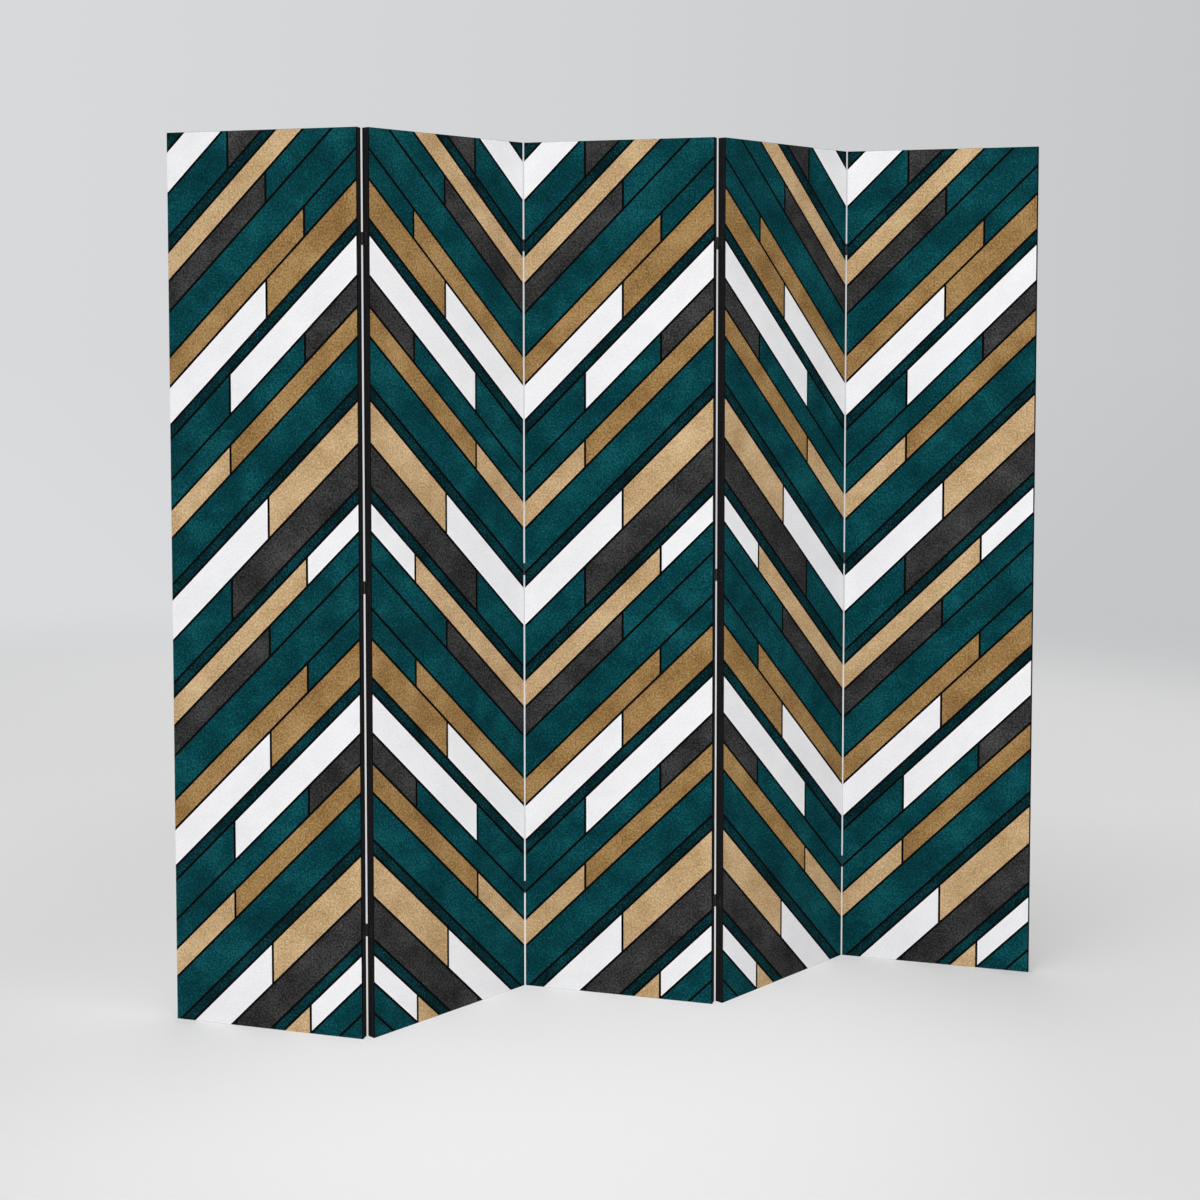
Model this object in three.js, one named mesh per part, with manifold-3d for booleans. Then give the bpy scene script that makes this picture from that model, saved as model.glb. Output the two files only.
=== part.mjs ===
// Five-panel folding screen: printed canvas stretched over mitred wooden frames, joined in a zigzag by small
// butt hinges that sit between the panels' edges.
//
// Millimetres, +Z up. The front faces -Y and +X runs along the screen, from its left end to its right end.
// The origin is the middle of the middle panel's foot, which is also the centre of the whole zigzag.
// Inside a panel's own group, +X runs along the panel and -Y is its front.

import * as THREE from 'three';
import { mergeVertices } from 'three/addons/utils/BufferGeometryUtils.js';
import Module from 'manifold-3d';

const wasm = await Module();
wasm.setup();

// Panels
const panelCount = 5;
const panelWidth = 400;
const panelHeight = 1760;
const panelDepth = 18;
const restTurn = 30.5; // degrees between each panel and the screen's long axis

// Gap that stands for contact between two pieces
const seatGap = 0.3;

// Canvas: front sheet, four edges, and a margin folded onto the back of the frame
const canvasThickness = 1;
const canvasMargin = 26;

// Wooden frame
const barWidth = 42;
const barChamfer = 1.5;
const middleRailWidth = 42;
const middleRailSetback = 3; // keeps the middle rail off the back of the printed sheet

// Hinges
const hingeInset = 210; // from the panel's foot and top to the outer hinges' centres
const hingeHeight = 25;
const leafThickness = 0.6;
const leafMargin = 4; // bare edge between a leaf and the face away from the pin
const leafPlay = 0.3; // between two leaves when their panels stand in line
const pinRadius = 0.6;
const knuckleWall = 0.4;
const screwHoleRadius = 1.9; // the head reaches through the thin leaf
const screwHeadRadius = 2.4;
const screwEdge = 5.5; // from a leaf's end to its nearer screw

const roundSides = 12;
const screwSides = 8;

// Derived from the sizes above
const skin = canvasThickness + seatGap;
const frameHalfWidth = panelWidth / 2 - skin;
const frameBottom = skin;
const frameTop = panelHeight - skin;
const frameFront = -panelDepth / 2 + skin;
const frameBack = panelDepth / 2 - skin;
const boreRadius = pinRadius + seatGap;
const knuckleRadius = boreRadius + knuckleWall;
const pinOut = seatGap + leafThickness + leafPlay / 2; // from a panel's edge to the pin's axis
// The pin stands off the face just far enough for its knuckles to clear the panel's corner
const cornerReach = knuckleRadius + seatGap;
const pinProud = Math.sqrt(Math.max(cornerReach ** 2 - pinOut ** 2, seatGap ** 2));
const pinX = panelWidth / 2 + pinOut;
const pinY = panelDepth / 2 + pinProud;
const knuckleHeight = (hingeHeight - 2 * seatGap) / 3;
const hingeHeights = {
  bottom: hingeInset,
  middle: panelHeight / 2,
  top: panelHeight - hingeInset,
};

const canvasLook = { color: 0x0d4a4c, roughness: 0.85, metalness: 0 };
const woodLook = { color: 0xc9a878, roughness: 0.7, metalness: 0 };
const hingeLook = { color: 0x1c1b1d, roughness: 0.45, metalness: 0.6 };

function toSolid(geometry) {
  geometry.deleteAttribute('normal');
  geometry.deleteAttribute('uv');
  const merged = mergeVertices(geometry, 1e-4);
  return new wasm.Manifold(new wasm.Mesh({
    numProp: 3,
    vertProperties: new Float32Array(merged.attributes.position.array),
    triVerts: new Uint32Array(merged.index.array),
  }));
}

function toGeometry(solid) {
  const mesh = solid.getMesh();
  const geometry = new THREE.BufferGeometry();
  geometry.setAttribute('position', new THREE.BufferAttribute(mesh.vertProperties, mesh.numProp));
  geometry.setIndex(new THREE.BufferAttribute(mesh.triVerts, 1));
  geometry.computeVertexNormals();
  return geometry;
}

function boxBetween(low, high) {
  const size = high.map((value, axis) => value - low[axis]);
  const geometry = new THREE.BoxGeometry(...size);
  geometry.translate(...low.map((value, axis) => value + size[axis] / 2));
  return geometry;
}

function roundAlongZ(radius, x, y, bottom, top) {
  const geometry = new THREE.CylinderGeometry(radius, radius, top - bottom, roundSides);
  geometry.rotateX(Math.PI / 2);
  geometry.translate(x, y, (bottom + top) / 2);
  return geometry;
}

function namedMesh(name, geometry, look) {
  const mesh = new THREE.Mesh(geometry, new THREE.MeshStandardMaterial(look));
  mesh.name = name;
  return mesh;
}

// One piece of cloth, folded round the frame and open at the back inside its margins
function canvasGeometry() {
  const halfWidth = panelWidth / 2;
  const halfDepth = panelDepth / 2;
  const openHalfWidth = halfWidth - canvasMargin;
  const whole = toSolid(boxBetween([-halfWidth, -halfDepth, 0], [halfWidth, halfDepth, panelHeight]));
  const frameRoom = toSolid(boxBetween(
    [-halfWidth + canvasThickness, -halfDepth + canvasThickness, canvasThickness],
    [halfWidth - canvasThickness, halfDepth - canvasThickness, panelHeight - canvasThickness],
  ));
  const backOpening = toSolid(boxBetween(
    [-openHalfWidth, 0, canvasMargin],
    [openHalfWidth, panelDepth, panelHeight - canvasMargin],
  ));
  return toGeometry(whole.subtract(frameRoom).subtract(backOpening));
}

// A bar drawn as an outline of [x, z] corners, with chamfered edges, between two depths
function barGeometry(corners, front, back) {
  const outline = new THREE.Shape(corners.map(([x, z]) => new THREE.Vector2(x, z)));
  const geometry = new THREE.ExtrudeGeometry(outline, {
    depth: back - front - 2 * barChamfer,
    bevelEnabled: true,
    bevelThickness: barChamfer,
    bevelSize: barChamfer,
    bevelOffset: -barChamfer,
    bevelSegments: 1,
  });
  geometry.rotateX(Math.PI / 2);
  geometry.translate(0, back - barChamfer, 0);
  return toGeometry(toSolid(geometry));
}

// The mitres run at 45 degrees, and the stiles give way to the rails by the seat gap
function stileGeometry(side) {
  const mitreGap = seatGap * Math.SQRT2;
  const outer = side * frameHalfWidth;
  const inner = side * (frameHalfWidth - barWidth);
  const corners = [
    [outer, frameBottom + mitreGap],
    [outer, frameTop - mitreGap],
    [inner, frameTop - mitreGap - barWidth],
    [inner, frameBottom + mitreGap + barWidth],
  ];
  return barGeometry(side > 0 ? corners : corners.reverse(), frameFront, frameBack);
}

function endRailGeometry(outerZ, inward) {
  const innerZ = outerZ + inward * barWidth;
  const corners = [
    [-frameHalfWidth, outerZ],
    [frameHalfWidth, outerZ],
    [frameHalfWidth - barWidth, innerZ],
    [-frameHalfWidth + barWidth, innerZ],
  ];
  return barGeometry(inward > 0 ? corners : corners.reverse(), frameFront, frameBack);
}

function middleRailGeometry() {
  const halfLength = frameHalfWidth - barWidth - seatGap;
  const low = panelHeight / 2 - middleRailWidth / 2;
  const high = low + middleRailWidth;
  const corners = [[-halfLength, low], [halfLength, low], [halfLength, high], [-halfLength, high]];
  return barGeometry(corners, frameFront + middleRailSetback, frameBack);
}

// A leaf screwed to a panel's edge. side is +1 on the right edge, and face is +1 when the pin is at the back.
// The leaf with the pin has the two outer knuckles, and the other leaf has the middle knuckle.
function leafGeometry(side, face, hasPin) {
  const low = -hingeHeight / 2;
  const lowSplit = low + knuckleHeight;
  const highSplit = lowSplit + knuckleHeight + 2 * seatGap;
  const high = hingeHeight / 2;
  const axisX = side * pinX;
  const axisY = face * pinY;
  const knuckle = (from, to) => toSolid(roundAlongZ(knuckleRadius, axisX, axisY, from, to));
  const notch = (from, to) => toSolid(roundAlongZ(cornerReach, axisX, axisY, from, to));

  const inner = side * (panelWidth / 2 + seatGap);
  const outer = inner + side * leafThickness;
  const far = -face * (panelDepth / 2 - leafMargin);
  let leaf = toSolid(boxBetween(
    [Math.min(inner, outer), Math.min(far, axisY), low],
    [Math.max(inner, outer), Math.max(far, axisY), high],
  ));

  if (hasPin) {
    leaf = leaf.subtract(notch(lowSplit, highSplit));
    leaf = leaf.add(knuckle(low, lowSplit)).add(knuckle(highSplit, high));
    leaf = leaf.add(toSolid(roundAlongZ(pinRadius, axisX, axisY, low, high)));
  } else {
    leaf = leaf.subtract(notch(low, lowSplit + seatGap)).subtract(notch(highSplit - seatGap, high));
    leaf = leaf.add(knuckle(lowSplit + seatGap, highSplit - seatGap));
    leaf = leaf.subtract(toSolid(roundAlongZ(boreRadius, axisX, axisY, low, high)));
  }

  // Countersunk holes, wide on the side that the screw goes in
  for (const end of [-1, 1]) {
    const hole = new THREE.CylinderGeometry(screwHeadRadius, screwHoleRadius, leafThickness, screwSides);
    hole.rotateZ(-side * Math.PI / 2);
    hole.translate((inner + outer) / 2, face * leafMargin / 2, end * (hingeHeight / 2 - screwEdge));
    leaf = leaf.subtract(toSolid(hole));
  }
  return toGeometry(leaf);
}

function addCanvasAndFrame(panel, name) {
  panel.add(
    namedMesh(`${name}_canvas`, canvasGeometry(), canvasLook),
    namedMesh(`${name}_left_stile`, stileGeometry(-1), woodLook),
    namedMesh(`${name}_right_stile`, stileGeometry(1), woodLook),
    namedMesh(`${name}_bottom_rail`, endRailGeometry(frameBottom, 1), woodLook),
    namedMesh(`${name}_middle_rail`, middleRailGeometry(), woodLook),
    namedMesh(`${name}_top_rail`, endRailGeometry(frameTop, -1), woodLook),
  );
}

function addLeaves(panel, foldName, side, face) {
  for (const [level, height] of Object.entries(hingeHeights)) {
    const hand = side > 0 ? 'left' : 'right';
    const leaf = namedMesh(`${foldName}_${level}_${hand}_leaf`, leafGeometry(side, face, side > 0), hingeLook);
    leaf.position.z = height;
    panel.add(leaf);
  }
}

// Odd panels run forwards from left to right and even panels run back. A fold that points at the viewer has
// its pins at the back, and the next one has them at the front, so the screen closes like a concertina.
const turnOf = (index) => THREE.MathUtils.degToRad(index % 2 === 0 ? -restTurn : restTurn);
const faceOf = (foldIndex) => (foldIndex % 2 === 0 ? 1 : -1);

function pinPlace(panelIndex, side, foldIndex) {
  const place = new THREE.Vector3(side * pinX, faceOf(foldIndex) * pinY, 0);
  return place.applyAxisAngle(new THREE.Vector3(0, 0, 1), turnOf(panelIndex));
}

// Centres of the panels, worked out from the left end and then shifted to put the middle one on the origin
const centres = [new THREE.Vector3()];
for (let fold = 0; fold < panelCount - 1; fold += 1) {
  const next = centres[fold].clone();
  next.add(pinPlace(fold, 1, fold));
  next.sub(pinPlace(fold + 1, -1, fold));
  centres.push(next);
}
const middleCentre = centres[Math.floor(panelCount / 2)].clone();

const screen = new THREE.Group();
for (let index = 0; index < panelCount; index += 1) {
  const panel = new THREE.Group();
  panel.position.copy(centres[index]).sub(middleCentre);
  panel.rotation.z = turnOf(index);
  addCanvasAndFrame(panel, `panel_${index + 1}`);
  if (index > 0) {
    addLeaves(panel, `hinge_${index}_${index + 1}`, -1, faceOf(index - 1));
  }
  if (index < panelCount - 1) {
    addLeaves(panel, `hinge_${index + 1}_${index + 2}`, 1, faceOf(index));
  }
  screen.add(panel);
}

export default screen;
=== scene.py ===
import math
import random

import bmesh
import bpy
from mathutils import Matrix, Vector


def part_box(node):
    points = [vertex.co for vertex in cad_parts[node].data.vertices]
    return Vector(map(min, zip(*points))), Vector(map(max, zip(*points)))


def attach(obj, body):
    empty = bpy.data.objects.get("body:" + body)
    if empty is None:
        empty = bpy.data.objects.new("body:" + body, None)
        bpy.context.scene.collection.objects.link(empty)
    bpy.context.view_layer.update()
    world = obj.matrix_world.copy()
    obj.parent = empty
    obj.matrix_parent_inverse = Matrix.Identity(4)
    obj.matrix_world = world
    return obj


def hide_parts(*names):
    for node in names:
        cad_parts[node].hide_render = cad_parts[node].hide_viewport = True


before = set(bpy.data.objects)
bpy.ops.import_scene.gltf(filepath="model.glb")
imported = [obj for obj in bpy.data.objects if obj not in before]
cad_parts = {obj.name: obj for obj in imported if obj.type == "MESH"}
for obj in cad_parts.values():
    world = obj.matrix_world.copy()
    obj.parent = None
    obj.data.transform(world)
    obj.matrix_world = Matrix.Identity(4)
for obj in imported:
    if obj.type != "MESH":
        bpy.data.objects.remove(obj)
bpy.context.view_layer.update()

MM = 0.001
PANELS = range(1, 6)
FOLDS = range(1, 5)
LEVELS = ("bottom", "middle", "top")
HANDS = ("left", "right")
FRONT = -1
BACK = 1

# A panel's sizes, as in the solids
PANEL_WIDTH = 400 * MM
PANEL_DEPTH = 18 * MM
MARGIN = 26 * MM

# The cloth's thickness and the rounding of its folds, which are the scene's own
CLOTH = 0.9 * MM
CORNER_ROUND = 0.35 * MM

# Two places nearer to each other than this are the same
TOUCHING = 0.01 * MM

# Seeds of the random draws: one for all screws, and two that each panel's number is added to
SCREW_SEED = 7
STAPLE_SEED = 100
RIM_SEED = 200

# Printed bands, in millimetres: height up the panel, colour beside the rear fold, where the band is cut (from
# the rear fold, or 0 for no cut) and colour beside the front fold. The bands climb at 45 degrees and repeat.
# Black lines part them, and a narrower one runs up the print's edge beside each front fold.
BAND_LINE = 4.8 * MM
EDGE_LINE = 2.2 * MM
BANDS = (
    (84, "white", 210, "light_tan"),
    (28, "deep_teal", 0, "deep_teal"),
    (92, "teal", 0, "teal"),
    (58, "light_tan", 130, "dark_tan"),
    (58, "teal", 290, "charcoal"),
    (80, "teal", 130, "white"),
    (28, "deep_teal", 0, "deep_teal"),
    (76, "white", 210, "dark_tan"),
    (58, "dark_tan", 290, "teal"),
    (88, "teal", 0, "teal"),
    (60, "charcoal", 210, "teal"),
    (58, "light_tan", 290, "white"),
    (28, "deep_teal", 0, "deep_teal"),
    (84, "teal", 130, "charcoal"),
)
BAND_START = -120 * MM

PRINT_COLOURS = {
    "white": ("#e6e6e9", "#ededef", "#f3f3f4"),
    "light_tan": ("#9b7c4f", "#c0a178", "#dbc19a"),
    "dark_tan": ("#6c4e29", "#967547", "#b79768"),
    "teal": ("#002126", "#003a41", "#155e64"),
    "deep_teal": ("#000a0b", "#012126", "#0a4c53"),
    "charcoal": ("#141414", "#2f2f2f", "#505050"),
}


# ---------------------------------------------------------------- node graphs

def linear(code):
    """The linear colour of a #rrggbb code."""
    parts = [int(code[i:i + 2], 16) / 255 for i in (1, 3, 5)]
    return tuple([p / 12.92 if p < 0.04045 else ((p + 0.055) / 1.055) ** 2.4 for p in parts] + [1.0])


class Graph:
    """A material or world and its nodes."""

    def __init__(self, owner):
        owner.use_nodes = True
        self.tree = owner.node_tree
        self.tree.nodes.clear()

    def add(self, kind, inputs=None, **settings):
        node = self.tree.nodes.new("ShaderNode" + kind)
        for key, value in settings.items():
            setattr(node, key, value)
        for key, value in (inputs or {}).items():
            self.put(node.inputs[key], value)
        return node

    def put(self, socket, value):
        """Links an output to a socket, or sets the socket's value."""
        if isinstance(value, bpy.types.NodeSocket):
            self.tree.links.new(value, socket)
        else:
            socket.default_value = value

    def math(self, operation, *values):
        node = self.add("Math", operation=operation)
        for socket, value in zip(node.inputs, values):
            self.put(socket, value)
        return node.outputs[0]

    def noise(self, vector, scale, detail=3.0, rough=0.6):
        inputs = {"Vector": vector, "Scale": scale, "Detail": detail, "Roughness": rough}
        return self.add("TexNoise", inputs).outputs["Fac"]

    def spread(self, value, low, high, to_low=0.0, to_high=1.0, blend="LINEAR"):
        """Maps the range from low to high onto the one from to_low to to_high, and stays inside it."""
        inputs = {"Value": value, "From Min": low, "From Max": high, "To Min": to_low, "To Max": to_high}
        return self.add("MapRange", inputs, interpolation_type=blend).outputs["Result"]

    def ramp(self, value, stops, blend="LINEAR"):
        node = self.add("ValToRGB", {"Fac": value})
        node.color_ramp.interpolation = blend
        elements = node.color_ramp.elements
        while len(elements) < len(stops):
            elements.new(0.5)
        for element, (place, code) in zip(elements, stops):
            element.position = place
            element.color = linear(code)
        return node.outputs["Color"]

    def part(self, vector, axis):
        return self.add("SeparateXYZ", {"Vector": vector}).outputs[axis]

    def scaled(self, vector, scale, turn=(0, 0, 0)):
        inputs = {"Vector": vector, "Scale": scale, "Rotation": turn}
        return self.add("Mapping", inputs).outputs["Vector"]

    def bump(self, height, distance, strength=1.0):
        inputs = {"Height": height, "Distance": distance, "Strength": strength}
        return self.add("Bump", inputs).outputs["Normal"]

    def surface(self, **inputs):
        named = {key.replace("_", " "): value for key, value in inputs.items()}
        shader = self.add("BsdfPrincipled", named)
        self.add("OutputMaterial", {"Surface": shader.outputs[0]})


def material(name):
    made = bpy.data.materials.new(name)
    return made, Graph(made)


# Scales of noise are in cycles per metre. NOISE_BAND is where most of a noise's values lie.
NOISE_BAND = (0.3, 0.7)

WEAVE_PITCH = 0.9 * MM
PRINT_GLOSS = 0.06
PRINT_CLOUDS = 11.0
PRINT_GRAIN = 260.0
PRINT_THREADS = (620, 110, 1)
CLOUD_SHARE = 0.3
GRAIN_SHARE = 0.55
GRAIN_HEIGHT = 0.6
PRINT_BAND = (0.4, 0.6)
PRINT_ROUGHNESS = (0.92, 0.8)
PRINT_RELIEF = 0.06 * MM

WARP = (900, 14, 1)
WEFT = (14, 900, 1)
FLECKS = 160.0
THREAD_SHARE = 0.3
FLECK_SHARE = 0.4
CLOTH_BAND = (0.38, 0.62)
CLOTH_ROUGH_REACH = 0.05
CLOTH_RELIEF = 0.08 * MM

RING_STRETCH = (0.5, 21, 21)
FIBRE_STRETCH = (14, 900, 900)
PATCH_STRETCH = (2, 9, 9)
RING_SHARE = 0.42
FIBRE_SHARE = 0.28
PATCH_SHARE = 0.5
RING_HEIGHT = 0.4
WOOD_BAND = (0.3, 0.9)
WOOD_ROUGHNESS = (0.7, 0.52)
WOOD_RELIEF = 0.15 * MM
PINE_TONES = ((0.0, "#efd9b3"), (0.45, "#e4c79a"), (0.8, "#d2ac76"), (1.0, "#b98d58"))

METAL_CLOUDS = 14  # how many times larger than the pits
METAL_CLOUD_SHARE = 0.6
METAL_BAND = (0.36, 0.64)
METAL_ROUGH_REACH = (-0.06, 0.08)
METAL_RELIEF = 0.03 * MM


def weave(g, cloth):
    """Height of a plain weave, from 0 to 1, in flat-cloth coordinates."""
    turns = 2 * math.pi / WEAVE_PITCH
    across = g.math("SINE", g.math("MULTIPLY", g.part(cloth, "X"), turns))
    along = g.math("SINE", g.math("MULTIPLY", g.part(cloth, "Y"), turns))
    return g.math("MULTIPLY_ADD", g.math("MULTIPLY", across, along), 0.5, 0.5)


def cloth_place(g):
    return g.add("UVMap", uv_map="cloth").outputs["UV"]


def print_material(name, dark, middle, light):
    """Ink of one colour on woven canvas, with soft clouds, a fine grain and the threads' lines."""
    made, g = material("print_" + name)
    cloth = cloth_place(g)
    clouds = g.noise(cloth, PRINT_CLOUDS, detail=6.0, rough=0.65)
    grains = g.noise(cloth, PRINT_GRAIN, rough=0.75)
    threads = g.noise(g.scaled(cloth, PRINT_THREADS), 1.0, detail=2.0, rough=0.5)
    mixed = g.math("MULTIPLY", clouds, CLOUD_SHARE)
    mixed = g.math("MULTIPLY_ADD", grains, GRAIN_SHARE, mixed)
    mixed = g.math("MULTIPLY_ADD", threads, 1 - CLOUD_SHARE - GRAIN_SHARE, mixed)
    height = g.math("MULTIPLY_ADD", grains, GRAIN_HEIGHT, weave(g, cloth))
    g.surface(
        Base_Color=g.ramp(g.spread(mixed, *PRINT_BAND), ((0.0, dark), (0.5, middle), (1.0, light))),
        Roughness=g.spread(grains, *NOISE_BAND, *PRINT_ROUGHNESS),
        Normal=g.bump(height, PRINT_RELIEF, strength=0.5),
        Specular_IOR_Level=PRINT_GLOSS,
    )
    return made


def plain_cloth_material(name, dark, light, rough, slub):
    """Cloth of one tone: the edges' black, the outlines and the unprinted inside."""
    made, g = material(name)
    cloth = cloth_place(g)
    warp = g.noise(g.scaled(cloth, WARP), 1.0)
    weft = g.noise(g.scaled(cloth, WEFT), 1.0)
    fleck = g.noise(cloth, FLECKS)
    flecked = g.math("MULTIPLY", fleck, FLECK_SHARE)
    tone = g.math("MULTIPLY_ADD", g.math("ADD", warp, weft), THREAD_SHARE, flecked)
    height = g.math("MULTIPLY_ADD", tone, slub, weave(g, cloth))
    g.surface(
        Base_Color=g.ramp(g.spread(tone, *CLOTH_BAND), ((0.0, dark), (1.0, light))),
        Roughness=g.spread(fleck, *NOISE_BAND, rough + CLOTH_ROUGH_REACH, rough - CLOTH_ROUGH_REACH),
        Normal=g.bump(height, CLOTH_RELIEF, strength=0.6),
        Specular_IOR_Level=PRINT_GLOSS,
    )
    return made


def wood_material(name, turn, upright):
    """Pale pine. The grain runs up a stile, and along a rail that is turned by turn about Z."""
    made, g = material(name)
    place = g.add("TexCoord").outputs["Object"]
    place = g.scaled(place, (1, 1, 1), (0, 0, -turn))
    if upright:
        place = g.scaled(place, (1, 1, 1), (0, math.pi / 2, 0))
    rings = g.add("TexWave", {
        "Vector": g.scaled(place, RING_STRETCH), "Scale": 1.6, "Distortion": 5.0,
        "Detail": 2.0, "Detail Scale": 0.7, "Detail Roughness": 0.5,
    }, bands_direction="Y").outputs["Fac"]
    fibres = g.noise(g.scaled(place, FIBRE_STRETCH), 1.0)
    patches = g.noise(g.scaled(place, PATCH_STRETCH), 1.0, rough=0.5)
    tone = g.math("MULTIPLY", rings, RING_SHARE)
    tone = g.math("MULTIPLY_ADD", fibres, FIBRE_SHARE, tone)
    tone = g.math("MULTIPLY_ADD", patches, PATCH_SHARE, tone)
    g.surface(
        Base_Color=g.ramp(g.spread(tone, *WOOD_BAND), PINE_TONES),
        Roughness=g.spread(fibres, *NOISE_BAND, *WOOD_ROUGHNESS),
        Normal=g.bump(g.math("MULTIPLY_ADD", rings, RING_HEIGHT, fibres), WOOD_RELIEF, strength=0.5),
        Specular_IOR_Level=0.35,
    )
    return made


def metal_material(name, dark, light, rough, metallic, grain):
    """Painted or plated metal, with fine pits and a cloudy sheen."""
    made, g = material(name)
    place = g.add("TexCoord").outputs["Object"]
    pits = g.noise(place, grain)
    clouds = g.noise(place, grain / METAL_CLOUDS)
    pitted = g.math("MULTIPLY", pits, 1 - METAL_CLOUD_SHARE)
    tone = g.math("MULTIPLY_ADD", clouds, METAL_CLOUD_SHARE, pitted)
    smoother, rougher = METAL_ROUGH_REACH
    g.surface(
        Base_Color=g.ramp(g.spread(tone, *METAL_BAND), ((0.0, dark), (1.0, light))),
        Metallic=metallic,
        Roughness=g.spread(clouds, *NOISE_BAND, rough + smoother, rough + rougher),
        Normal=g.bump(pits, METAL_RELIEF, strength=0.6),
    )
    return made


PRINTS = {name: print_material(name, *codes) for name, codes in PRINT_COLOURS.items()}
OUTLINE = plain_cloth_material("print_outline", "#000000", "#070708", rough=0.85, slub=0.5)
EDGE = plain_cloth_material("canvas_edge_black", "#151416", "#232224", rough=0.85, slub=0.8)
RAW_CLOTH = plain_cloth_material("canvas_unprinted", "#d9d5ca", "#f0ede4", rough=0.92, slub=1.0)
HINGE_PAINT = metal_material(
    "hinge_black_paint", "#131214", "#222124", rough=0.45, metallic=0.0, grain=1400.0)
SCREW_STEEL = metal_material(
    "screw_black_zinc", "#202024", "#3a3a40", rough=0.38, metallic=0.9, grain=2200.0)
STAPLE_STEEL = metal_material(
    "staple_zinc", "#9a9da1", "#c9ccd0", rough=0.32, metallic=1.0, grain=1800.0)


# ---------------------------------------------------------------- where each panel stands

def panel_place(k):
    """The panel's matrix (X along the panel, -Y its front, Z up from its foot), its turn and its height."""
    low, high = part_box(f"panel_{k}_canvas")
    size = high - low
    across = (size.x - size.y) / (PANEL_WIDTH - PANEL_DEPTH)
    turn = math.acos(across / math.sqrt(2)) - math.pi / 4
    if k % 2:
        turn = -turn
    centre = (low + high) / 2
    place = Matrix.Translation((centre.x, centre.y, low.z)) @ Matrix.Rotation(turn, 4, "Z")
    return place, turn, size.z


PLACES = {k: panel_place(k) for k in PANELS}
PANEL_HEIGHT = PLACES[1][2]
HALF_WIDTH = PANEL_WIDTH / 2
HALF_DEPTH = PANEL_DEPTH / 2


def piece_from(bm, name, k, materials):
    """Puts a mesh made in panel k's own coordinates into the scene, riding on that panel."""
    bmesh.ops.recalc_face_normals(bm, faces=bm.faces)
    bmesh.ops.transform(bm, matrix=PLACES[k][0], verts=bm.verts)
    mesh = bpy.data.meshes.new(name)
    bm.to_mesh(mesh)
    bm.free()
    for item in materials:
        mesh.materials.append(item)
    mesh.shade_flat()
    piece = bpy.data.objects.new(name, mesh)
    bpy.context.scene.collection.objects.link(piece)
    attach(piece, f"panel_{k}")
    return piece


# ---------------------------------------------------------------- printed canvas

PRINT_NAMES = list(PRINTS)
OUTLINE_SLOT = len(PRINT_NAMES)
EDGE_SLOT = OUTLINE_SLOT + 1
CANVAS_MATERIALS = [PRINTS[n] for n in PRINT_NAMES] + [OUTLINE, EDGE, RAW_CLOTH]
BAND_REPEAT = sum(band[0] for band in BANDS) * MM
FIRST_REPEAT = -1
DIAGONAL_HALF = BAND_LINE / 2 * math.sqrt(2)

# A face is in front where its normal's Y is below the first of these, and at the back where it is above the
# second. FACING is how much of a normal has to lie along an axis for its face to unfold along that axis.
FRONT_NORMAL = -0.6
BACK_NORMAL = 0.99
FACING = 0.7


def band_borders():
    """Heights of the lines between bands, one repeat, from 0."""
    total = 0.0
    borders = []
    for band in BANDS:
        borders.append(total)
        total += band[0] * MM
    return borders


BORDERS = band_borders()
CUTS = sorted({band[2] * MM for band in BANDS if band[2]})


def printed_slot(from_rear, height):
    """The material slot of a point of the print."""
    if from_rear > PANEL_WIDTH - EDGE_LINE:
        return OUTLINE_SLOT
    level = (height - from_rear - BAND_START) % BAND_REPEAT
    for border in BORDERS + [BAND_REPEAT]:
        if abs(level - border) < DIAGONAL_HALF:
            return OUTLINE_SLOT
    index = max(i for i, border in enumerate(BORDERS) if border <= level)
    _, rear, cut, front = BANDS[index]
    cut *= MM
    if cut and abs(from_rear - cut) < BAND_LINE / 2:
        return OUTLINE_SLOT
    return PRINT_NAMES.index(rear if not cut or from_rear < cut else front)


def with_edges(faces):
    """The faces with their edges and corners, which is what bisect_plane cuts."""
    edges = {e for f in faces for e in f.edges}
    verts = {v for f in faces for v in f.verts}
    return faces + list(edges) + list(verts)


def front_geometry(bm):
    return with_edges([f for f in bm.faces if f.normal.y < FRONT_NORMAL])


def cloth_uv(point, normal, k):
    """Where a point of the cloth lies once the cloth is flat, in metres."""
    u = point.x
    v = point.z
    if abs(normal.x) > FACING:
        u = math.copysign(HALF_WIDTH + HALF_DEPTH + point.y, point.x)
    elif normal.y > FACING:
        u = 2 * math.copysign(HALF_WIDTH, point.x) - point.x
    elif abs(normal.z) > FACING:
        v = point.z + math.copysign(HALF_DEPTH + point.y, normal.z)
    return (u + k, v)


RIM_CUTS = 60
RIM_WAVES = 5
RIM_WAVE = 1.1 * MM
RIM_WAVE_LENGTH = (45 * MM, 260 * MM)
RIM_CALM = 45 * MM
RIM_SHIFT = 3  # sets the waves at the foot and at the top apart


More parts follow.
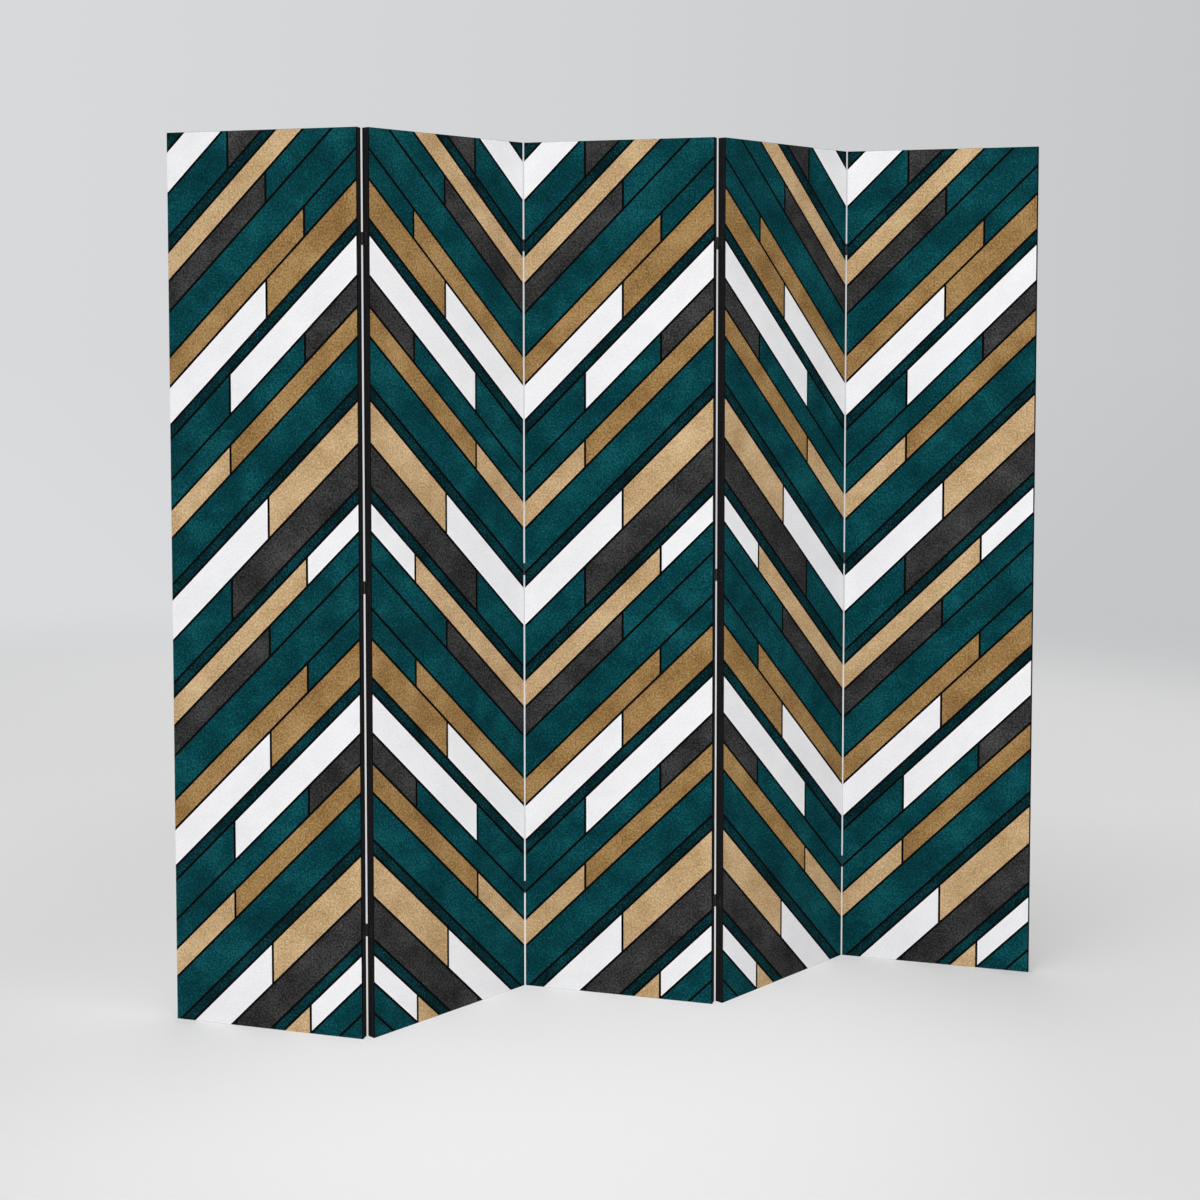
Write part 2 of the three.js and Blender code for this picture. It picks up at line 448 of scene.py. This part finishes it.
def wave_rim(bm, k, half_width, low, high):
    """Bends the margins' raw edge a little, as cloth that was cut by hand. Its corners stay."""
    bmesh.ops.subdivide_edges(bm, edges=[e for e in bm.edges if e.is_boundary], cuts=RIM_CUTS)
    draw = random.Random(RIM_SEED + k)
    waves = []
    for _ in range(RIM_WAVES):
        turns = 2 * math.pi / draw.uniform(*RIM_WAVE_LENGTH)
        waves.append((turns, draw.uniform(0, 2 * math.pi)))
    for vert in [v for v in bm.verts if v.is_boundary]:
        x, _, z = vert.co
        upright = half_width - abs(x) < TOUCHING
        along = z if upright else x + RIM_SHIFT * z
        calm = min(z - low, high - z) if upright else half_width - abs(x)
        push = sum(math.sin(along * turns + phase + x) for turns, phase in waves) / len(waves)
        push *= RIM_WAVE * min(1.0, calm / RIM_CALM)
        if upright:
            vert.co.x += push
        else:
            vert.co.z += push


def cut_back_open(bm, k):
    """Opens the back of a closed canvas inside the folded margins."""
    opening_x = HALF_WIDTH - MARGIN
    for place, way in (
        ((-opening_x, 0, 0), (1, 0, 0)), ((opening_x, 0, 0), (1, 0, 0)),
        ((0, 0, MARGIN), (0, 0, 1)), ((0, 0, PANEL_HEIGHT - MARGIN), (0, 0, 1)),
    ):
        back = with_edges([f for f in bm.faces if f.normal.y > BACK_NORMAL])
        bmesh.ops.bisect_plane(bm, geom=back, plane_co=place, plane_no=way)
    middle = [
        f for f in bm.faces
        if f.normal.y > BACK_NORMAL and abs(f.calc_center_median().x) < opening_x
        and MARGIN < f.calc_center_median().z < PANEL_HEIGHT - MARGIN
    ]
    bmesh.ops.delete(bm, geom=middle, context="FACES")
    wave_rim(bm, k, opening_x, MARGIN, PANEL_HEIGHT - MARGIN)


def cut_print_lines(bm, rear_x, way):
    """Cuts the print's lines into the front. way is +1 where the rear fold is at the panel's left."""
    slope = Vector((-way, 0, 1)).normalized()
    last_repeat = int((PANEL_HEIGHT + PANEL_WIDTH) / BAND_REPEAT)
    for repeat in range(FIRST_REPEAT, last_repeat + 1):
        for border in BORDERS:
            level = BAND_START + border + repeat * BAND_REPEAT
            for side in (-DIAGONAL_HALF, DIAGONAL_HALF):
                if -PANEL_WIDTH < level + side < PANEL_HEIGHT:
                    bmesh.ops.bisect_plane(
                        bm, geom=front_geometry(bm), plane_co=(rear_x, 0, level + side), plane_no=slope)
    uprights = [cut + side for cut in CUTS for side in (-BAND_LINE / 2, BAND_LINE / 2)]
    for from_rear in uprights + [PANEL_WIDTH - EDGE_LINE]:
        x = rear_x + way * from_rear
        bmesh.ops.bisect_plane(bm, geom=front_geometry(bm), plane_co=(x, 0, 0), plane_no=(1, 0, 0))


def colour_faces(bm, k, rear_x):
    """Gives each face its colour and its place on the flat cloth. The rounded top and foot are edge black."""
    cloth = bm.loops.layers.uv.new("cloth")
    for face in bm.faces:
        centre = face.calc_center_median()
        if face.normal.y < FRONT_NORMAL and CORNER_ROUND < centre.z < PANEL_HEIGHT - CORNER_ROUND:
            face.material_index = printed_slot(abs(centre.x - rear_x), centre.z)
        else:
            face.material_index = EDGE_SLOT
        for loop in face.loops:
            loop[cloth].uv = cloth_uv(loop.vert.co, face.normal, k)


def make_canvas(k):
    """One cloth folded round a panel: a box with rounded folds, open at the back inside its margins."""
    size = Matrix.Diagonal((PANEL_WIDTH, PANEL_DEPTH, PANEL_HEIGHT, 1))
    bm = bmesh.new()
    bmesh.ops.create_cube(bm, size=1, matrix=Matrix.Translation((0, 0, PANEL_HEIGHT / 2)) @ size)
    bmesh.ops.bevel(
        bm, geom=bm.edges[:], offset=CORNER_ROUND, segments=3, profile=0.5, affect="EDGES")
    bm.normal_update()
    cut_back_open(bm, k)
    way = 1 if k % 2 else -1
    rear_x = -way * HALF_WIDTH
    cut_print_lines(bm, rear_x, way)
    colour_faces(bm, k, rear_x)
    piece = piece_from(bm, f"panel_{k}_printed_canvas", k, CANVAS_MATERIALS)
    shell = piece.modifiers.new("cloth_thickness", "SOLIDIFY")
    shell.thickness = CLOTH
    shell.offset = -1
    shell.use_even_offset = True
    shell.material_offset = len(CANVAS_MATERIALS)
    shell.material_offset_rim = len(CANVAS_MATERIALS)
    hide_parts(f"panel_{k}_canvas")
    return piece


CANVASES = {k: make_canvas(k) for k in PANELS}
BAR_NAMES = ("left_stile", "right_stile", "bottom_rail", "middle_rail", "top_rail")


# ---------------------------------------------------------------- folded corners and staples

FOLD_THICK = 0.55 * MM
FOLD_ROUND = 0.3 * MM
FOLD_INSET = 1.4 * MM

# A folded corner's outline, as distances from the panel's side and from its foot or top: a three-cornered
# flap whose edges are a little off straight
FOLD_OUTLINE = (
    (FOLD_INSET, FOLD_INSET), (MARGIN * 0.5, FOLD_INSET * 0.8), (MARGIN, FOLD_INSET),
    (MARGIN + 0.4 * MM, MARGIN * 0.55), (MARGIN, MARGIN - 0.6 * MM),
    (MARGIN * 0.75, MARGIN * 0.73), (MARGIN * 0.5, MARGIN * 0.5), (MARGIN * 0.25, MARGIN * 0.27),
)


def make_corner_folds(k):
    """The extra layer at each rear corner, where the cloth is folded over itself at 45 degrees."""
    bm = bmesh.new()
    for side in (-1, 1):
        for end in (-1, 1):
            foot = 0 if end < 0 else PANEL_HEIGHT
            corners = [
                bm.verts.new((side * (HALF_WIDTH - x), HALF_DEPTH, foot - end * z)) for x, z in FOLD_OUTLINE
            ]
            face = bm.faces.new(corners)
            top = bmesh.ops.extrude_face_region(bm, geom=[face])
            raised = [v for v in top["geom"] if isinstance(v, bmesh.types.BMVert)]
            bmesh.ops.translate(bm, vec=(0, FOLD_THICK, 0), verts=raised)
    rim = [e for e in bm.edges if all(abs(v.co.y - HALF_DEPTH - FOLD_THICK) < TOUCHING for v in e.verts)]
    bmesh.ops.bevel(bm, geom=rim, offset=FOLD_ROUND, segments=2, profile=0.5, affect="EDGES")
    cloth = bm.loops.layers.uv.new("cloth")
    for face in bm.faces:
        for loop in face.loops:
            loop[cloth].uv = (loop.vert.co.z + k, loop.vert.co.x)
    return piece_from(bm, f"panel_{k}_corner_folds", k, [EDGE])


STAPLE_WIDTH = 10.6 * MM
STAPLE_WIRE = (1.2 * MM, 0.55 * MM)
STAPLE_BEND = 0.8 * MM
STAPLE_LEG = 3.5 * MM
STAPLE_STEP = 72 * MM
STAPLE_CLEAR = 2 * MARGIN
BEND_STEPS = 3

# How far a staple is off its place and, in degrees, off its line
STAPLE_SLIP = 1 * MM
STAPLE_TILT = 9
CORNER_STAPLE_TILT = 6

# A corner staple's distances from the panel's side and from its foot or top
CORNER_STAPLE = (MARGIN * 0.62, MARGIN * 0.36)


def staple_path():
    """Points along a staple's inside, in its own plane: across, and up from the cloth."""
    half = STAPLE_WIDTH / 2
    points = [(-half, -STAPLE_LEG)]
    for step in range(BEND_STEPS + 1):
        angle = math.pi - step * math.pi / (2 * BEND_STEPS)
        across = -half + STAPLE_BEND + STAPLE_BEND * math.cos(angle)
        points.append((across, STAPLE_BEND * (math.sin(angle) - 1)))
    points += [(-x, y) for x, y in reversed(points)]
    return points


def add_staple(bm, x, z, angle, lift):
    """A bent wire whose crown lies at x, z, lift above the cloth, turned by angle in the panel's plane."""
    wide, thick = STAPLE_WIRE
    path = staple_path()
    rings = []
    for index, (along, up) in enumerate(path):
        before = Vector(path[max(index - 1, 0)])
        after = Vector(path[min(index + 1, len(path) - 1)])
        way = (after - before).normalized()
        out = Vector((-way.y, way.x))
        ring = []
        for side, level in ((-1, 0), (1, 0), (1, 1), (-1, 1)):
            a = along + out.x * level * thick
            y = HALF_DEPTH + lift + up + out.y * level * thick
            across = side * wide / 2
            ring.append(bm.verts.new((
                x + a * math.cos(angle) - across * math.sin(angle), y,
                z + a * math.sin(angle) + across * math.cos(angle))))
        rings.append(ring)
    for one, two in zip(rings, rings[1:]):
        for i in range(4):
            j = (i + 1) % 4
            bm.faces.new((one[i], one[j], two[j], two[i]))
    bm.faces.new(rings[0])
    bm.faces.new(rings[-1])


def staple_row(length):
    """Places along a margin of that length, about STAPLE_STEP apart and clear of its ends."""
    span = length - 2 * STAPLE_CLEAR
    count = round(span / STAPLE_STEP)
    return [STAPLE_CLEAR + i * span / count for i in range(count + 1)]


def make_staples(k):
    """A row of staples along each margin, and one across each folded corner."""
    bm = bmesh.new()
    draw = random.Random(STAPLE_SEED + k)
    line = MARGIN / 2
    spots = []
    for side in (-1, 1):
        spots += [(side * (HALF_WIDTH - line), z, math.pi / 2) for z in staple_row(PANEL_HEIGHT)]
    for level in (line, PANEL_HEIGHT - line):
        spots += [(x - HALF_WIDTH, level, 0.0) for x in staple_row(PANEL_WIDTH)]
    for x, z, angle in spots:
        add_staple(
            bm, x + draw.uniform(-1, 1) * STAPLE_SLIP, z + draw.uniform(-1, 1) * STAPLE_SLIP,
            angle + math.radians(draw.uniform(-STAPLE_TILT, STAPLE_TILT)), 0.0)
    for side in (-1, 1):
        for foot, end in ((0, 1), (PANEL_HEIGHT, -1)):
            x = side * (HALF_WIDTH - CORNER_STAPLE[0])
            z = foot + end * CORNER_STAPLE[1]
            tilt = math.radians(draw.uniform(-CORNER_STAPLE_TILT, CORNER_STAPLE_TILT))
            add_staple(bm, x, z, math.atan2(end, -side) + tilt, FOLD_THICK)
    return piece_from(bm, f"panel_{k}_staples", k, [STAPLE_STEEL])


for k in PANELS:
    folds = make_corner_folds(k)
    make_staples(k)


# ---------------------------------------------------------------- wood and hinges

def paint(node, made):
    """Gives a kept solid its material."""
    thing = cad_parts[node]
    for slot in thing.material_slots:
        slot.material = made


TURN = abs(PLACES[2][1])
STILE_WOOD = wood_material("pine_stile", 0.0, True)
RAIL_WOOD = {
    1: wood_material("pine_rail_odd_panels", -TURN, False),
    0: wood_material("pine_rail_even_panels", TURN, False),
}
for k in PANELS:
    for bar in BAR_NAMES:
        paint(f"panel_{k}_{bar}", STILE_WOOD if "stile" in bar else RAIL_WOOD[k % 2])
for fold in FOLDS:
    for level in LEVELS:
        for hand in HANDS:
            paint(f"hinge_{fold}_{fold + 1}_{level}_{hand}_leaf", HINGE_PAINT)


# ---------------------------------------------------------------- screws

SCREW_HEAD = 2.3 * MM
SCREW_SHANK = 1.25 * MM
SCREW_LENGTH = 9 * MM
HEAD_RIM = 0.15 * MM
HEAD_DEPTH = 1.2 * MM
THREAD_PITCH = 0.7 * MM
THREAD_ROOT = 0.72
POINT_LENGTH = 2 * MM
POINT_RADIUS = 0.15 * MM
HEAD_SIDES = 24
CROSS_HALF = 0.32 * MM
CROSS_REACH = 1.35 * MM
CROSS_DEPTH = 0.7 * MM
CROSS_TAPER = 0.8

# A hinge leaf's height, and where its screws sit: from its end, out from the panel's edge to the leaf's face,
# how far the head is sunk into that, and across the edge from its middle
HINGE_HEIGHT = 25 * MM
SCREW_EDGE = 5.5 * MM
LEAF_FACE = 0.9 * MM
HEAD_SUNK = 0.05 * MM
LEAF_ACROSS = 2 * MM


def ring_of(bm, radius, depth):
    step = 2 * math.pi / HEAD_SIDES
    turns = [i * step for i in range(HEAD_SIDES)]
    return [bm.verts.new((depth, radius * math.cos(turn), radius * math.sin(turn))) for turn in turns]


def bridge(bm, one, two):
    for i in range(len(one)):
        j = (i + 1) % len(one)
        bm.faces.new((one[i], one[j], two[j], two[i]))


def screw_mesh():
    """A countersunk cross-head screw. X points out of the wood, 0 is the head's face."""
    bm = bmesh.new()
    a, reach = CROSS_HALF, CROSS_REACH
    quarter = [(reach, -a), (reach, a), (a, a)]
    outline = []
    for c, s in ((1, 0), (0, 1), (-1, 0), (0, -1)):
        outline += [(c * y - s * z, s * y + c * z) for y, z in quarter]
    cross = [bm.verts.new((0, y, z)) for y, z in outline]
    socket = [bm.verts.new((-CROSS_DEPTH, y * CROSS_TAPER, z * CROSS_TAPER)) for y, z in outline]
    bridge(bm, cross, socket)
    bm.faces.new(socket)
    rim = ring_of(bm, SCREW_HEAD, 0)
    edges = [bm.edges.new((rim[i], rim[(i + 1) % HEAD_SIDES])) for i in range(HEAD_SIDES)]
    edges += [bm.edges.get((cross[i], cross[(i + 1) % len(cross)])) for i in range(len(cross))]
    bmesh.ops.triangle_fill(bm, edges=edges, use_beauty=True)
    profile = [(SCREW_HEAD, -HEAD_RIM), (SCREW_SHANK, -HEAD_DEPTH)]
    depth = -HEAD_DEPTH
    while depth > -SCREW_LENGTH + POINT_LENGTH:
        profile.append((SCREW_SHANK * THREAD_ROOT, depth - THREAD_PITCH / 2))
        depth -= THREAD_PITCH
        profile.append((SCREW_SHANK, depth))
    profile.append((POINT_RADIUS, -SCREW_LENGTH))
    last = rim
    for radius, level in profile:
        ring = ring_of(bm, radius, level)
        bridge(bm, last, ring)
        last = ring
    bm.faces.new(last)
    bmesh.ops.recalc_face_normals(bm, faces=bm.faces)
    made = bpy.data.meshes.new("screw_pattern")
    bm.to_mesh(made)
    bm.free()
    return made


SCREW = screw_mesh()


def make_screws(fold, level, hand):
    """The two screws of one hinge leaf."""
    node = f"hinge_{fold}_{fold + 1}_{level}_{hand}_leaf"
    low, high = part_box(node)
    height = (low.z + high.z) / 2
    k = fold if hand == "left" else fold + 1
    side = 1 if hand == "left" else -1
    face = BACK if fold % 2 else FRONT
    bm = bmesh.new()
    for end in (-1, 1):
        spot = Matrix.Translation((
            side * (HALF_WIDTH + LEAF_FACE - HEAD_SUNK), face * LEAF_ACROSS,
            height + end * (HINGE_HEIGHT / 2 - SCREW_EDGE)))
        spin = Matrix.Rotation(random.uniform(0, math.pi / 2), 4, "X")
        facing = Matrix.Rotation(0 if side > 0 else math.pi, 4, "Z")
        placed = SCREW.copy()
        placed.transform(spot @ facing @ spin)
        bm.from_mesh(placed)
        bpy.data.meshes.remove(placed)
    name = f"hinge_{fold}_{fold + 1}_{level}_{hand}_screws"
    return piece_from(bm, name, k, [SCREW_STEEL])


random.seed(SCREW_SEED)
for fold in FOLDS:
    for level in LEVELS:
        for hand in HANDS:
            make_screws(fold, level, hand)
bpy.data.meshes.remove(SCREW)


# ---------------------------------------------------------------- floor, background and light

FLOOR_REACH = 60.0

# The floor turns into the backdrop between these distances from the middle of the screen
NEAR_REACH = 3.0
FAR_REACH = 6.0

# Towards the front, beyond what the camera shows, it does so sooner, short of the front lamp's bright spot
NEAR_REACH_IN_FRONT = 1.6
FAR_REACH_IN_FRONT = 3.4

# The floor's tones by distance in metres, in front of the screen and behind it: pale grey with painted light,
# a bright pool round the feet and far behind, and painted shade about 1.15 m out. The distance is measured in
# an oval round a spot of its own. A shift is that spot's place, scaled by the oval, with its sign turned.
FLOOR_OVAL = (1, 0.83, 0)
SHIFT_IN_FRONT = (0.35, 0.22, 0)
SHIFT_BEHIND = (0.12, 0.31, 0)
PAINTED_LIGHT_TONES_IN_FRONT = ((0.2, "#f6f6f7"), (0.65, "#ededee"), (1.15, "#dfdfe0"), (1.8, "#e3e3e3"), (3.0, "#e3e3e3"))
PAINTED_LIGHT_TONES_BEHIND = (
    (0.2, "#f6f6f7"), (0.65, "#ededee"), (1.15, "#dbdbdc"), (1.7, "#dfdfdf"), (2.2, "#e9e9e9"),
    (2.8, "#ededed"), (3.6, "#f9f9f9"),
)
TONE_REACH = 4.0  # metres that a ramp of tones spans
BEHIND_FULLY = 1.0  # metres behind the middle from where only the tones behind it count

# Near the feet, a share of the tone that the camera sees is painted light, a glow that takes no shadow, so
# the shadow there is faint
PAINTED_FOOT_LIGHT_TONE = "#ececed"
FOOT_SHIFT = (0.08, 0, 0)
PAINTED_FOOT_LIGHT_SHARE = 0.6
FOOT_NEAR = 0.35
FOOT_FAR = 1.25
FLOOR_MOTTLE = 40.0
MOTTLE_REACH = 0.1

# Which sockets of a Mix node are its two colours and its result
MIX_FIRST = 6
MIX_SECOND = 7
MIX_RESULT = 2

# The backdrop's tones, along the part of a direction's X that the band gives: pale grey with painted shade,
# darker towards +X
BACKDROP_BAND = (-0.15, 0.6)
BACKDROP_TONES = ((0.0, "#dadbdd"), (0.54, "#d2d3d5"), (1.0, "#c4c6c8"))

# Light from all round, and each lamp's name, place, target, size and watts
WORLD_LIGHT = 0.25
LAMPS = (
    ("top_softbox", (-0.3, -0.6, 6.5), (-0.3, -0.6, 0), (5.0, 4.0), 268),
    ("overhead_softbox", (-0.6, -2.6, 5.5), (-0.4, -1.4, 0), (4.0, 4.0), 40),
    ("front_softbox", (-1.2, -5.9, 0.8), (0, 0, 0.7), (4.0, 1.5), 158),
    ("left_softbox", (-3.6, -4.4, 1.6), (0, 0, 0.7), (3.0, 3.0), 9),
    ("rear_softbox", (0.8, 5.0, 3.6), (0.1, 1.2, 0.6), (4.0, 3.0), 40),
)


def backdrop_colour(g, direction):
    """Pale grey, with painted shade that makes it a little darker towards +X."""
    return g.ramp(g.spread(g.part(direction, "X"), *BACKDROP_BAND), BACKDROP_TONES)


def seen(g):
    """1 for rays that show the background as such: from the camera, in a mirror or through glass."""
    path = g.add("LightPath")
    total = g.math("MAXIMUM", path.outputs["Is Camera Ray"], path.outputs["Is Glossy Ray"])
    return g.math("MAXIMUM", total, path.outputs["Is Transmission Ray"])


def floor_distance(g, place, shift):
    oval = g.add("VectorMath", {0: place, 1: FLOOR_OVAL, 2: shift}, operation="MULTIPLY_ADD").outputs[0]
    return g.add("VectorMath", {0: oval}, operation="LENGTH").outputs["Value"]


def floor_tone_and_painted_light(g, place):
    """Pale grey with painted light: lighter round the feet of the screen and far behind it, painted shade
    between, and a faint mottle.
    """
    mottle = g.noise(place, FLOOR_MOTTLE, detail=4.0)
    sides = []
    for tones, shift in ((PAINTED_LIGHT_TONES_IN_FRONT, SHIFT_IN_FRONT), (PAINTED_LIGHT_TONES_BEHIND, SHIFT_BEHIND)):
        away = g.math("MULTIPLY_ADD", mottle, MOTTLE_REACH, floor_distance(g, place, shift))
        stops = [(metres / TONE_REACH, code) for metres, code in tones]
        sides.append(g.ramp(g.math("DIVIDE", away, TONE_REACH), stops, "B_SPLINE"))
    behind = g.spread(g.part(place, "Y"), 0.0, BEHIND_FULLY)
    mix = g.add("Mix", {"Factor": behind, MIX_FIRST: sides[0], MIX_SECOND: sides[1]}, data_type="RGBA")
    return mix.outputs[MIX_RESULT]


def smooth_step(g, value, low, high, to_low=0.0, to_high=1.0):
    return g.spread(value, low, high, to_low, to_high, blend="SMOOTHSTEP")


def make_floor():
    """A round floor whose rim glows as the backdrop does, so that no horizon shows."""
    bm = bmesh.new()
    bmesh.ops.create_circle(bm, cap_ends=True, segments=64, radius=FLOOR_REACH)
    mesh = bpy.data.meshes.new("studio_floor")
    bm.to_mesh(mesh)
    bm.free()
    made, g = material("studio_floor")
    place = g.add("TexCoord").outputs["Object"]
    away = g.add("VectorMath", {0: place}, operation="LENGTH").outputs["Value"]
    fade = smooth_step(g, away, NEAR_REACH, FAR_REACH)
    fade_in_front = smooth_step(g, g.part(place, "Y"), -FAR_REACH_IN_FRONT, -NEAR_REACH_IN_FRONT, 1.0, 0.0)
    fade = g.math("MAXIMUM", fade, fade_in_front)
    share = smooth_step(g, floor_distance(g, place, FOOT_SHIFT), FOOT_NEAR, FOOT_FAR, PAINTED_FOOT_LIGHT_SHARE, 0.0)
    shown = seen(g)
    lit = g.add("BsdfPrincipled", {
        "Base Color": floor_tone_and_painted_light(g, place),
        "Roughness": 0.8,
        "Specular IOR Level": 0.2,
    })
    # Painted light: a glow near the feet, seen by the camera, that takes no shadow
    feet = g.add("Emission", {"Color": linear(PAINTED_FOOT_LIGHT_TONE), "Strength": 1.0})
    near = g.add("MixShader", {
        "Fac": g.math("MULTIPLY", share, shown), 1: lit.outputs[0], 2: feet.outputs[0]})
    toward = g.add("VectorMath", {0: place}, operation="NORMALIZE").outputs["Vector"]
    glow = g.add("Emission", {"Color": backdrop_colour(g, toward), "Strength": 1.0})
    whole = g.add("MixShader", {
        "Fac": g.math("MULTIPLY", fade, shown), 1: near.outputs[0], 2: glow.outputs[0]})
    g.add("OutputMaterial", {"Surface": whole.outputs[0]})
    mesh.materials.append(made)
    floor = bpy.data.objects.new("studio_floor", mesh)
    bpy.context.scene.collection.objects.link(floor)


def make_world():
    """The backdrop where it is seen, and white light from all round for everything else."""
    world = bpy.data.worlds.new("studio")
    bpy.context.scene.world = world
    g = Graph(world)
    direction = g.add("TexCoord").outputs["Generated"]
    shown = g.add("Background", {"Color": backdrop_colour(g, direction), "Strength": 1.0})
    light = g.add("Background", {"Color": (1, 1, 1, 1), "Strength": WORLD_LIGHT})
    mix = g.add("MixShader", {"Fac": seen(g), 1: light.outputs[0], 2: shown.outputs[0]})
    g.add("OutputWorld", {"Surface": mix.outputs[0]})


def add_lamp(name, place, target, size, power):
    lamp = bpy.data.lights.new(name, "AREA")
    lamp.shape = "RECTANGLE"
    lamp.size, lamp.size_y = size
    lamp.energy = power
    thing = bpy.data.objects.new(name, lamp)
    bpy.context.scene.collection.objects.link(thing)
    thing.location = place
    thing.visible_camera = False
    thing.rotation_euler = (Vector(target) - Vector(place)).to_track_quat("-Z", "Y").to_euler()


make_floor()
make_world()
for lamp in LAMPS:
    add_lamp(*lamp)


# ---------------------------------------------------------------- camera

# Metres, degrees, millimetres of lens and sensor, and a shift as a share of the picture's width
CAMERA_PLACE = (-0.9855, -3.5469, 1.3734)
CAMERA_YAW = 14.918
CAMERA_PITCH = 3.0
CAMERA_LENS = 54.095
CAMERA_SHIFT = -0.1452
SENSOR_WIDTH = 36

camera = bpy.data.cameras.new("camera")
camera.sensor_width = SENSOR_WIDTH
camera.lens = CAMERA_LENS
camera.shift_y = CAMERA_SHIFT
camera_object = bpy.data.objects.new("camera", camera)
bpy.context.scene.collection.objects.link(camera_object)
camera_object.location = CAMERA_PLACE
camera_object.rotation_euler = (math.radians(90 - CAMERA_PITCH), 0, math.radians(-CAMERA_YAW))
bpy.context.scene.camera = camera_object
bpy.context.scene.view_settings.view_transform = "Standard"
